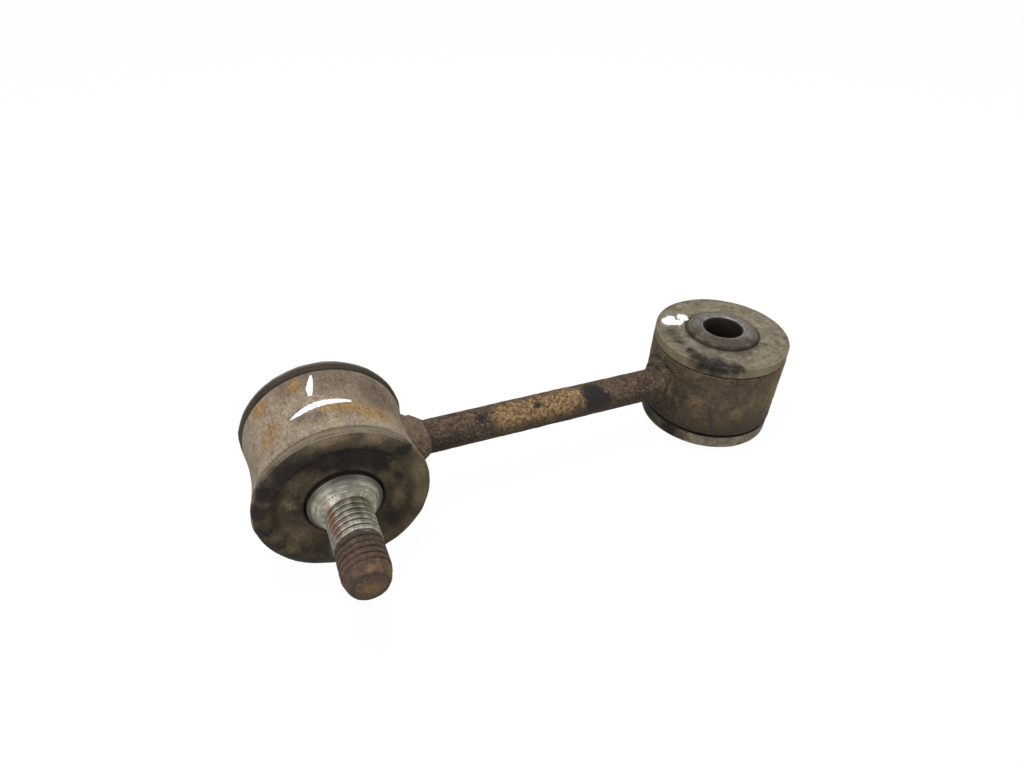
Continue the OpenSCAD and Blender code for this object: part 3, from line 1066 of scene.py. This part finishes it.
@dataclass
class StudEnd:
    """The waisted eye, the rubber in it and the threaded stud."""

    wall: float = 2.5
    flare: float = 1.0
    arc_end: float = 16.0
    eye_edge: float = 1.2
    outer_rounding: float = 0.45
    inner_rounding: float = 0.3
    crust_fade: tuple[float, float] = (-1.5, -0.3)
    eye_crust: Layers = ((0.05, 5.0, 3, 0.0), (0.035, 1.1, 3, 7.0))
    flange: float = 2.8
    flange_gap: float = 0.4
    rim_land: float = 0.3
    roll_h: float = 1.3
    roll_w: float = 6.4
    roll_crest: float = 0.45
    roll_fall: float = 1.8
    crease: float = 0.35
    dish: float = 0.7
    ring_groove_r: float = 13.7
    ring_groove: float = 0.2
    mouth: float = 0.5
    bond_gap: float = 0.05
    rubber_sag: Layers = ((0.14, 5.0, 3, 3.0), (0.03, 1.2, 2, 5.0))
    pitch: float = 1.75
    thread_depth: float = 0.9
    flank: tuple[float, float] = (0.29, 0.46)
    thread_fade: tuple[float, float] = (-1.1, 0.3)
    cone_len: float = 4.0
    collar: tuple[Corner, ...] = ((8.1, 1.5, 1.5), (7.3, 2.7, 1.5), (6.5, 3.6, 1.2))
    thread_r: float = 6.0
    thread_len: float = 18.5
    tip_len: float = 4.2
    tip_r: float = 4.5
    centre_r: float = 1.6
    centre_depth: float = 0.9
    turn_mark: float = 0.04
    turn_pitch: float = 0.8
    collar_grooves: tuple[tuple[float, float], ...] = ((0.55, 0.03), (1.6, 0.04), (2.65, 0.08))
    collar_groove_w: float = 0.14
    clogged_from: float = 30.8
    clogged_run: float = 1.5
    clogged_edge: Layers = ((1.2, 2.5, 2, 0.0),)
    clogged_share: float = 0.35
    rust_crust: Layers = ((0.05, 0.8, 3, 0.0), (0.06, 2.0, 2, 5.0))
    rust_sunk: float = 0.04
    turning: Turning = field(init=False)
    half: float = field(init=False)
    waist_r: float = field(init=False)
    rim_r: float = field(init=False)
    shank_r: float = field(init=False)
    back: float = field(init=False)
    front: float = field(init=False)

    def __post_init__(self) -> None:
        """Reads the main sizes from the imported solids."""
        low, high = box_mm("stud_end_eye")
        middle = (low + high) / 2
        self.turning = Turning((0.0, -1.0, 0.0), (1.0, 0.0, 0.0), tuple(middle))
        self.half = float(high[1] - low[1]) / 2
        self.waist_r = float(high[0] - low[0]) / 2 - self.flare
        low, high = box_mm("stud_end_rubber")
        self.rim_r = float(high[0] - low[0]) / 2
        low, high = box_mm("threaded_stud")
        self.shank_r = float(high[0] - low[0]) / 2
        self.back = float(middle[1] - high[1])
        self.front = float(middle[1] - low[1])

    def build(self) -> None:
        """Builds and dresses every piece of this end."""
        self.eye()
        self.rubber()
        self.stud()
        self.paint_marks()

    def eye_radius(self, height: np.ndarray) -> np.ndarray:
        """Outer radius of the eye at these heights: one arc from end to end."""
        arc = (self.half ** 2 + self.flare ** 2) / (2 * self.flare)
        return self.waist_r + arc - np.sqrt(arc ** 2 - np.clip(height, -self.arc_end, self.arc_end) ** 2)

    def eye(self) -> None:
        """Builds the eye, with rounded end edges and a crust of dust and rust."""
        run = np.linspace(-self.half + self.eye_edge, self.half - self.eye_edge, 9)
        end_r = float(self.eye_radius(self.half))
        outer = [(float(self.eye_radius(h)), float(h), 0.0) for h in run]
        inner = [(r - self.wall, h, q) for r, h, q in outer[::-1]]
        ends = [(end_r, self.half, self.outer_rounding), (end_r - self.wall, self.half, self.inner_rounding)]
        corners = outer + ends + inner + [(r, -h, q) for r, h, q in ends[::-1]]
        rings, square, turned = self.turning.turn(rounded_outline(corners, step=0.32), segments=440)
        outside = ramp(turned[..., 0] - self.eye_radius(turned[..., 1]), *self.crust_fade)
        rings = rings + square * (grain(rings, *self.eye_crust) * outside)[..., None]
        put(Skin("stud_eye_tube", rings, turned), STUD_EYE_FINISH, Body.LINK, "stud_end_eye")

    def rubber(self) -> None:
        """Builds the rubber, with the roll, the ring groove and the crease on each flange face."""
        neck = self.half + self.flange_gap
        face = neck + self.flange
        bond = self.shank_r + self.bond_gap
        ring_r, groove, dish = self.ring_groove_r, self.ring_groove, self.dish
        roll_in = self.rim_r - self.rim_land - self.roll_w
        crest = roll_in + self.roll_crest * self.roll_w
        rise = np.linspace(0, 0.95, 12)
        front: list[Corner] = [
            (bond, face - self.mouth, 0.0), (bond + self.mouth, face, 0.1), (ring_r - groove, face - 0.3 * dish, 0.1),
            (ring_r, face - groove - 0.35 * dish, 0.08), (ring_r + groove, face - 0.4 * dish, 0.1),
            (roll_in - 1.2, face - dish, 0.8),
        ]
        front += [(roll_in + (crest - roll_in) * s, face - dish + (self.roll_h + dish) * float(up), 0.0)
                  for s, up in zip(rise, ramp(rise, 0, 1))]
        front += [(crest + (1 - self.roll_crest) * self.roll_w * s, face + self.roll_h * (1 - s ** self.roll_fall), 0.0)
                  for s in np.linspace(0, 0.97, 14)]
        front += [
            (self.rim_r - self.rim_land, face - self.crease, 0.06), (self.rim_r, face, 0.14),
            (self.rim_r - 0.6, neck, 0.3), (self.waist_r + self.flare - self.wall - 0.1, neck, 0.0),
        ]
        core = [(float(self.eye_radius(h)) - self.wall - self.bond_gap, float(h), 0.0)
                for h in np.linspace(self.half - 0.5, -self.half + 0.5, 7)]
        back = [(r, -h, q) for r, h, q in front[::-1]]
        rings, square, turned = self.turning.turn(rounded_outline(front + core + back, step=0.5), segments=300)
        radius, height = turned[..., 0], turned[..., 1]
        shown = ramp(np.abs(height), face - 2.5, face - 0.5) * ramp(radius, bond + 0.3, bond + 1.5)
        rings = rings + square * (grain(rings, *self.rubber_sag) * shown)[..., None]
        put(Skin("stud_eye_rubber", rings, turned), STUD_RUBBER_FINISH, Body.LINK, "stud_end_rubber",
            Body.STUD_RUBBER)

    def thread_share(self, height: np.ndarray, angle: np.ndarray) -> np.ndarray:
        """How deep the thread is cut, 0 on the crests and 1 in the roots, at these heights and angles."""
        phase = np.mod(height / self.pitch - angle / FULL_TURN, 1.0)
        return ramp(0.5 - np.abs(phase - 0.5), *self.flank)

    def stud_outline(self, shank_end: float, thread_from: float, tip_from: float) -> np.ndarray:
        """Outline of the stud without its thread.

        Args:
            shank_end: height where the collar begins.
            thread_from: height where the thread begins.
            tip_from: height where the tip begins.

        Returns:
            Radius and height of each point, from the back end to the tip.
        """
        back, front, shank_r = self.back, self.front, self.shank_r
        back_end = rounded_outline([
            (0.01, back + self.centre_depth, 0.0), (0.5, back + self.centre_depth, 0.15), (self.centre_r, back, 0.15),
            (shank_r - 0.5, back, 0.2), (shank_r, back + 0.5, 0.2), (shank_r, back + 1.0, 0.0),
        ], step=0.2, closed=False)
        turn_marks = self.turn_mark * np.sin(back_end[:, 0] * FULL_TURN / self.turn_pitch)
        back_end[:, 1] += turn_marks * (back_end[:, 1] < back + 0.1) * (back_end[:, 0] < shank_r - 0.8)
        shank = np.stack(np.broadcast_arrays(shank_r, np.linspace(back + 2.0, shank_end - 2.0, 16)), 1)
        shown = rounded_outline([
            (shank_r, shank_end - 0.95, 0.0), (shank_r, shank_end - 0.2, 0.25), (shank_r - 0.5, shank_end + 0.2, 0.3),
            *((r, shank_end + h, q) for r, h, q in self.collar),
            (self.thread_r, thread_from + 0.6, 1.0), (self.thread_r, tip_from + 0.4, 0.8),
            (self.tip_r + 0.6, front - 0.9, 0.6), (self.tip_r, front, 0.25), (0.01, front - 0.15, 0.0),
        ], step=0.1, closed=False)
        outline = np.concatenate([back_end, shank, shown])
        for level, depth in self.collar_grooves:
            groove = np.exp(-((outline[:, 1] - shank_end - level) / self.collar_groove_w) ** 2)
            outline[:, 0] -= depth * groove * (outline[:, 0] > self.thread_r)
        return outline

    def stud(self) -> None:
        """Builds the stud: shank, hollowed collar with turned rings, helical thread and tapered tip."""
        tip_from = self.front - self.tip_len
        thread_from = tip_from - self.thread_len
        outline = self.stud_outline(thread_from - self.cone_len, thread_from, tip_from)
        angle = round_angles(count=200)
        radius, height = outline[:, :1], outline[:, 1:]
        cut = self.thread_share(height, angle)
        begin, whole = (thread_from + off for off in self.thread_fade)
        fade = ramp(height, begin, whole) * ramp(radius, self.tip_r, self.tip_r + 0.6)
        rest, _ = self.turning.rings(radius, height, angle)
        clogged_to = self.clogged_from + self.clogged_run
        clogged = ramp(height + grain(rest, *self.clogged_edge), self.clogged_from, clogged_to)
        full = self.thread_r - self.thread_depth * cut * (1 - self.clogged_share * clogged)
        threaded = np.minimum(radius, full * fade + radius * (1 - fade))
        threaded = np.where(height < begin, radius, threaded)
        crust = clogged * (grain(rest, *self.rust_crust) - self.rust_sunk)
        threaded = np.where(radius < 0.5, radius, threaded + crust)
        put(Skin("stud_with_thread", *self.turning.rings(threaded, height, angle), poles=True), STUD_FINISH,
            Body.STUD, "threaded_stud")

    def paint_marks(self) -> None:
        """Puts two plain strokes of marking paint on top of the eye."""
        strokes = (
            Daub("paint_stroke_long", [(2.0, 2.6, 0.4), (1.9, 2.0, 1.7), (1.76, 1.2, 2.3), (1.6, 0.8, 2.2),
                                       (1.4, 0.9, 1.7), (1.25, 1.1, 0.9)]),
            Daub("paint_stroke_short", [(1.63, -10.7, 0.5), (1.65, -9.0, 1.3), (1.69, -6.0, 1.9), (1.7, -3.2, 1.0)]),
        )
        for stroke in strokes:
            put(stroke.skin(self.turning, self.eye_radius), PAINT_FINISH, Body.LINK)


@dataclass
class BushEnd:
    """The straight eye, the rubber in it and the bolt sleeve."""

    wall: float = 2.5
    chamfer: float = 0.4
    eye_crust: Layers = ((0.07, 4.0, 3, 2.0), (0.05, 1.2, 3, 9.0))
    crust_sunk: float = 0.03
    bond_gap: float = 0.05
    flange_gap: float = 0.4
    lip_h: float = 1.0
    lip_shown: float = 0.95
    lip_w: float = 1.4
    edge: float = 0.45
    crease_in: float = 0.7
    crease: float = 0.3
    rubber_sag: Layers = ((0.1, 7.0, 2, 1.0), (0.03, 1.5, 2, 6.0))
    rubber_sunk: float = 0.04
    bore_r: float = 6.1
    bore_rounding: float = 0.8
    dome_from_r: float = 7.2
    dome_h: float = 0.75
    sleeve_dents: Layers = ((0.04, 2.0, 3, 8.0),)
    dents_sunk: float = 0.02
    turning: Turning = Turning((0.0, 0.0, 1.0), (1.0, 0.0, 0.0))
    eye_r: float = field(init=False)
    half: float = field(init=False)
    flange_r: float = field(init=False)
    upper: float = field(init=False)
    lower: float = field(init=False)
    sleeve_r: float = field(init=False)
    top: float = field(init=False)
    bottom: float = field(init=False)

    def __post_init__(self) -> None:
        """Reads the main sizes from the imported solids."""
        low, high = box_mm("bush_end_eye")
        self.eye_r, self.half = float(high[0] - low[0]) / 2, float(high[2] - low[2]) / 2
        low, high = box_mm("bush_end_rubber")
        self.flange_r = float(high[0] - low[0]) / 2
        self.upper, self.lower = float(high[2]) - self.lip_h, float(low[2]) + self.lip_h
        low, high = box_mm("bush_inner_sleeve")
        self.sleeve_r, self.top, self.bottom = float(high[0] - low[0]) / 2, float(high[2]), float(low[2])

    def build(self) -> None:
        """Builds and dresses every piece of this end."""
        self.eye()
        self.rubber()
        self.sleeve()

    def eye(self) -> None:
        """Builds the eye with chamfered ends and a rusty crust."""
        inner = self.eye_r - self.wall
        corners = [(self.eye_r, -self.half, self.chamfer), (self.eye_r, self.half, self.chamfer),
                   (inner, self.half, 0.2), (inner, -self.half, 0.2)]
        rings, square, turned = self.turning.turn(rounded_outline(corners, step=0.3), segments=480)
        crust = grain(rings, *self.eye_crust) - self.crust_sunk
        crust *= ramp(turned[..., 0], inner + 0.8, self.eye_r - 0.3)
        put(Skin("bush_eye_tube", rings + square * crust[..., None], turned), BUSH_EYE_FINISH, Body.LINK,
            "bush_end_eye")

    def face(self, level: float, way: int) -> list[Corner]:
        """Outline of one flange, from the bore out to the eye.

        Args:
            level: height of its face.
            way: 1 for the upper flange and -1 for the lower.

        Returns:
            The flange's corners.
        """
        bond = self.sleeve_r + self.bond_gap
        lip = [(bond + self.lip_w * float(s), level + way * self.lip_shown * float(1 - 0.6 * s - 0.4 * s ** 6), 0.0)
               for s in np.linspace(0, 1, 15)]
        crease_r, neck = self.flange_r - self.crease_in, way * (self.half + self.flange_gap)
        return lip + [
            (crease_r - self.crease, level, 0.1), (crease_r, level - way * self.crease, 0.08),
            (crease_r + self.crease, level, 0.1), (self.flange_r, level - way * 0.25, self.edge),
            (self.flange_r, neck, 0.25), (self.eye_r - self.wall - self.bond_gap, neck, 0.0),
        ]

    def rubber(self) -> None:
        """Builds the rubber with a lip round the sleeve and a crease near each flange edge."""
        outline = rounded_outline(self.face(self.upper, 1) + self.face(self.lower, -1)[::-1], step=0.45)
        rings, square, turned = self.turning.turn(outline, segments=320)
        bond = self.sleeve_r + self.bond_gap
        radius, height = turned[..., 0], turned[..., 1]
        sag = grain(rings, *self.rubber_sag) - self.rubber_sunk
        sag *= ramp(np.abs(height), self.half + 0.6, self.half + 2) * ramp(radius, bond + 0.2, bond + 1.5)
        put(Skin("bush_eye_rubber", rings + square * sag[..., None], turned), BUSH_RUBBER_FINISH, Body.LINK,
            "bush_end_rubber", Body.BUSH_RUBBER)

    def sleeve(self) -> None:
        """Builds the bolt sleeve, whose ends are domed and run on into the rubber's lips."""
        dome = [(float(self.dome_from_r + (self.sleeve_r - self.dome_from_r) * s), float(self.dome_h * s * s))
                for s in np.linspace(0.2, 1, 9)]
        corners = [(self.bore_r, self.bottom, self.bore_rounding)]
        corners += [(r, self.bottom + h, 0.0) for r, h in dome]
        corners += [(r, self.top - h, 0.0) for r, h in dome[::-1]]
        corners += [(self.bore_r, self.top, self.bore_rounding)]
        rings, square, turned = self.turning.turn(rounded_outline(corners, step=0.5), segments=256)
        dents = grain(rings, *self.sleeve_dents) - self.dents_sunk
        dents *= ramp(turned[..., 0], self.bore_r + 0.4, self.bore_r + 1.0) * ramp(turned[..., 1], self.upper, self.top)
        put(Skin("bolt_sleeve", rings + square * dents[..., None], turned), SLEEVE_FINISH, Body.SLEEVE,
            "bush_inner_sleeve")


@dataclass
class Bar:
    """The rod between the eyes and the weld beads at its ends."""

    stud_end: StudEnd
    bush_end: BushEnd
    rod_crust: Layers = ((0.06, 4.0, 3, 0.0), (0.05, 1.2, 3, 4.0))
    thick_crust: Layers = ((0.1, 2.2, 3, 6.0),)
    thick_raised: float = 0.05
    thick_from: tuple[float, float] = (-84.0, -76.0)
    thick_to: tuple[float, float] = (-54.0, -50.0)
    crust_limits: tuple[float, float] = (-0.2, 0.25)
    crust_sunk: float = 0.06
    stud_bead: Section = ((3.0, 0.0), (2.64, 0.625), (2.4, 1.75), (2.16, 2.7), (1.2, 4.0), (0.0, 5.5))
    bush_bead: Section = ((5.51, 0.0), (3.99, 0.35), (2.66, 0.98), (1.52, 1.82), (0.57, 2.8), (0.0, 3.85))
    weld_sunk: float = 0.12
    weld_root: float = 0.4
    weld_wave: float = 0.09
    weld_ripple: float = 0.08
    weld_ripples: int = 9
    weld_lumps: Layers = ((0.45, 5.0, 2, 3.0), (0.2, 2.2, 3, 5.0), (0.1, 0.9, 2, 8.0))
    lumps_sunk: float = 0.1
    turning: Turning = Turning((1.0, 0.0, 0.0), (0.0, 1.0, 0.0))
    rod_r: float = field(init=False)

    def __post_init__(self) -> None:
        """Reads the rod's radius from its solid."""
        low, high = box_mm("link_rod")
        self.rod_r = float(high[2] - low[2]) / 2

    def build(self) -> None:
        """Builds and dresses the rod and both beads."""
        self.rod()
        self.weld("stud_eye_weld", "stud_end_weld", self.stud_bead, self.stud_side, 1, STUD_WELD_FINISH)
        self.weld("bush_eye_weld", "bush_end_weld", self.bush_bead, self.bush_side, -1, BUSH_WELD_FINISH)

    def stud_side(self, radius: np.ndarray, angle: np.ndarray) -> np.ndarray:
        """Where along the rod a line beside it meets the stud eye.

        Args:
            radius: the line's distance from the rod's axis.
            angle: its angle round that axis.

        Returns:
            The place along X.
        """
        centre = self.stud_end.turning.origin
        ground = self.stud_end.eye_radius(centre[1] - radius * np.cos(angle))
        return centre[0] + np.sqrt(ground ** 2 - (radius * np.sin(angle)) ** 2)

    def bush_side(self, radius: np.ndarray, angle: np.ndarray) -> np.ndarray:
        """Where along the rod a line beside it, at this radius and angle, meets the bush eye."""
        return -np.sqrt(self.bush_end.eye_r ** 2 - (radius * np.cos(angle)) ** 2)

    def rod(self) -> None:
        """Builds the rod, cut to the eyes at its ends, with pits and crust."""
        angle = round_angles(count=128)
        start, stop = self.stud_side(self.rod_r, angle), self.bush_side(self.rod_r, angle)
        along = start + (stop - start) * np.linspace(0, 1, 420)[:, None]
        rest, _ = self.turning.rings(self.rod_r, along, angle)
        thick = ramp(along, *self.thick_from) * (1 - ramp(along, *self.thick_to))
        crust = grain(rest, *self.rod_crust) + thick * (grain(rest, *self.thick_crust) + self.thick_raised)
        radius = self.rod_r + np.clip(crust, *self.crust_limits) - self.crust_sunk
        put(Skin("rod_bar", *self.turning.rings(radius, along, angle), poles=True), ROD_FINISH, Body.LINK,
            "link_rod")

    def weld(self, name: str, node: str, section: Section,
             side: Callable[[np.ndarray, np.ndarray], np.ndarray], way: int, finish: Finish) -> None:
        """Builds one lumpy bead round the rod.

        Args:
            name: the piece's name.
            node: the solid that it stands for.
            section: the bead's outside, from the eye to the rod.
            side: gives where the eye's surface is along the rod.
            way: 1 where the rod leaves the eye towards +X and -1 otherwise.
            finish: its finish.
        """
        angle = round_angles(count=160)
        run = np.array(section)
        share = np.linspace(0, 1, 28)
        height, off = (np.interp(share, np.linspace(0, 1, len(run)), run[:, k])[:, None] for k in range(2))
        off = off + self.weld_wave * height.max() * (np.sin(share * 5 * math.pi) * np.sin(share * math.pi))[:, None]
        middle = way * float(side(np.array(0.01), np.array(0.0)))
        rest, _ = self.turning.rings(self.rod_r + height, way * (middle + off), angle)
        ripple = 1 + self.weld_ripple * np.sin(angle * self.weld_ripples + 2 * off) * np.sin(share * math.pi)[:, None]
        lumps = grain(rest, *self.weld_lumps) - self.lumps_sunk
        outer = self.rod_r + height * ripple + lumps * ramp(height, 0.1, 0.9)
        toe = way * side(outer, angle)
        along = way * (toe + np.where(share[:, None] == 0, -self.weld_sunk, off))
        inner = np.full((1, angle.shape[1]), self.rod_r - self.weld_root)
        buried = outer[:1] - 0.5
        radius = np.concatenate([outer, inner, inner, buried])
        spread = np.concatenate([along, along[-1:], side(inner, angle) - way * 0.3, side(buried, angle) - way * 0.4])
        put(Skin(name, *self.turning.rings(radius, spread, angle)), finish, Body.LINK, node)


@dataclass(frozen=True)
class Studio:
    """Camera, floor and lamps: a pale floor under soft light from above."""

    camera_place: Point = (-137.5, -141.6, 128.28)
    camera_aim: Point = (-69.12, 7.80, 5.82)
    roll_deg: float = -2.986
    focal_px: float = 679.32
    image_px: tuple[int, int] = (1024, 768)
    sensor_mm: float = 36.0
    clip_m: tuple[float, float] = (0.005, 20.0)
    floor_low: Point = (-125.0, 0.0, -22.7)
    floor_high: Point = (0.0, 0.0, -17.85)
    floor_size: float = 6000.0
    paper: str = "#808080"
    paper_white: float = 1.15
    paper_white_share: float = 0.84
    lamp_aim: Point = (-70.0, 0.0, 0.0)
    # Name, place, width and power in watts of each lamp
    lamps: tuple[tuple[str, Point, float, float], ...] = (
        ("key lamp", (-120.0, 60.0, 560.0), 300.0, 2.45),
        ("fill lamp", (-440.0, -420.0, 220.0), 400.0, 1.4),
        ("side lamp", (330.0, -430.0, 200.0), 400.0, 0.85),
    )
    world_strength: float = 0.33
    world_white: float = 0.985

    def camera(self) -> None:
        """Places the camera as the photograph's was."""
        data = bpy.data.cameras.new("camera")
        data.sensor_fit = "HORIZONTAL"
        data.sensor_width = self.sensor_mm
        data.lens = self.sensor_mm * self.focal_px / self.image_px[0]
        data.clip_start, data.clip_end = self.clip_m
        place, aim = Vector(self.camera_place) * MM, Vector(self.camera_aim) * MM
        forward = (aim - place).normalized()
        level = forward.cross(Vector((0, 0, 1))).normalized()
        roll = math.radians(self.roll_deg)
        up = level.cross(forward) * math.cos(roll) + level * math.sin(roll)
        right = forward.cross(up)
        camera = bpy.data.objects.new("camera", data)
        camera.matrix_world = Matrix.Translation(place) @ Matrix((right, up, -forward)).transposed().to_4x4()
        bpy.context.scene.collection.objects.link(camera)
        bpy.context.scene.camera = camera

    @staticmethod
    def seen_rays(tree: Tree) -> Node:
        """Adds the mask of the rays that see the background white.

        Args:
            tree: the node tree.

        Returns:
            The node that gives 1 for rays from the camera, in gloss and through glass, and 0 for others.
        """
        rays = add(tree, "ShaderNodeLightPath").outputs
        seen = add(tree, "ShaderNodeMath", {0: rays["Is Camera Ray"], 1: rays["Is Glossy Ray"]}, operation="MAXIMUM")
        return add(tree, "ShaderNodeMath", {0: seen, 1: rays["Is Transmission Ray"]}, operation="MAXIMUM")

    def floor(self) -> None:
        """Makes the floor, tilted so that both ends of the link lie on it."""
        low, high = Vector(self.floor_low), Vector(self.floor_high)
        tilt = math.atan2(high.z - low.z, high.x - low.x)
        half = self.floor_size / 2 * MM
        mesh = bpy.data.meshes.new("floor")
        mesh.from_pydata([(-half, -half, 0), (half, -half, 0), (half, half, 0), (-half, half, 0)], [], [(0, 1, 2, 3)])
        floor = bpy.data.objects.new("floor", mesh)
        floor.matrix_world = Matrix.Translation(low * MM) @ Matrix.Rotation(-tilt, 4, "Y")
        bpy.context.scene.collection.objects.link(floor)
        material = bpy.data.materials.new("pale studio paper")
        material.use_nodes = True
        tree = material.node_tree
        paper = tree.nodes["Principled BSDF"]
        feed(tree, paper, {"Base Color": self.paper, "Roughness": 0.9})
        share = add(tree, "ShaderNodeMath", {0: self.seen_rays(tree), 1: self.paper_white_share}, operation="MULTIPLY")
        white = add(tree, "ShaderNodeEmission", {"Color": "#ffffff", "Strength": self.paper_white})
        mix = add(tree, "ShaderNodeMixShader", {0: share, 1: paper, 2: white})
        feed(tree, tree.nodes["Material Output"], {"Surface": mix})
        mesh.materials.append(material)

    def light(self) -> None:
        """Hangs a wide soft lamp over the link and weaker ones to the left and right of the camera."""
        for name, place, size, power in self.lamps:
            data = bpy.data.lights.new(name, "AREA")
            data.shape = "DISK"
            data.size = size * MM
            data.energy = power
            lamp = bpy.data.objects.new(name, data)
            way = (Vector(self.lamp_aim) - Vector(place)).to_track_quat("-Z", "Y")
            lamp.matrix_world = Matrix.Translation(Vector(place) * MM) @ way.to_matrix().to_4x4()
            bpy.context.scene.collection.objects.link(lamp)

    def world(self) -> None:
        """Fills in soft light, with white behind for what sees it."""
        world = bpy.data.worlds.new("studio")
        world.use_nodes = True
        tree = world.node_tree
        strength = add(tree, "ShaderNodeMapRange", {"Value": self.seen_rays(tree), "To Min": self.world_strength,
                                                    "To Max": self.world_white})
        feed(tree, tree.nodes["Background"], {"Color": "#ffffff", "Strength": strength})
        bpy.context.scene.world = world

    def set_up(self) -> None:
        """Makes the whole studio."""
        bpy.context.scene.view_settings.view_transform = "Standard"
        self.camera()
        self.floor()
        self.light()
        self.world()


def main() -> None:
    """Builds the studio, then each sub-assembly of the link."""
    logging.basicConfig(level=logging.INFO, format="%(message)s")
    Studio().set_up()
    stud_end, bush_end = StudEnd(), BushEnd()
    for assembly in (stud_end, bush_end, Bar(stud_end, bush_end)):
        LOG.info("building %s", type(assembly).__name__)
        assembly.build()


if __name__ == "__main__":
    main()
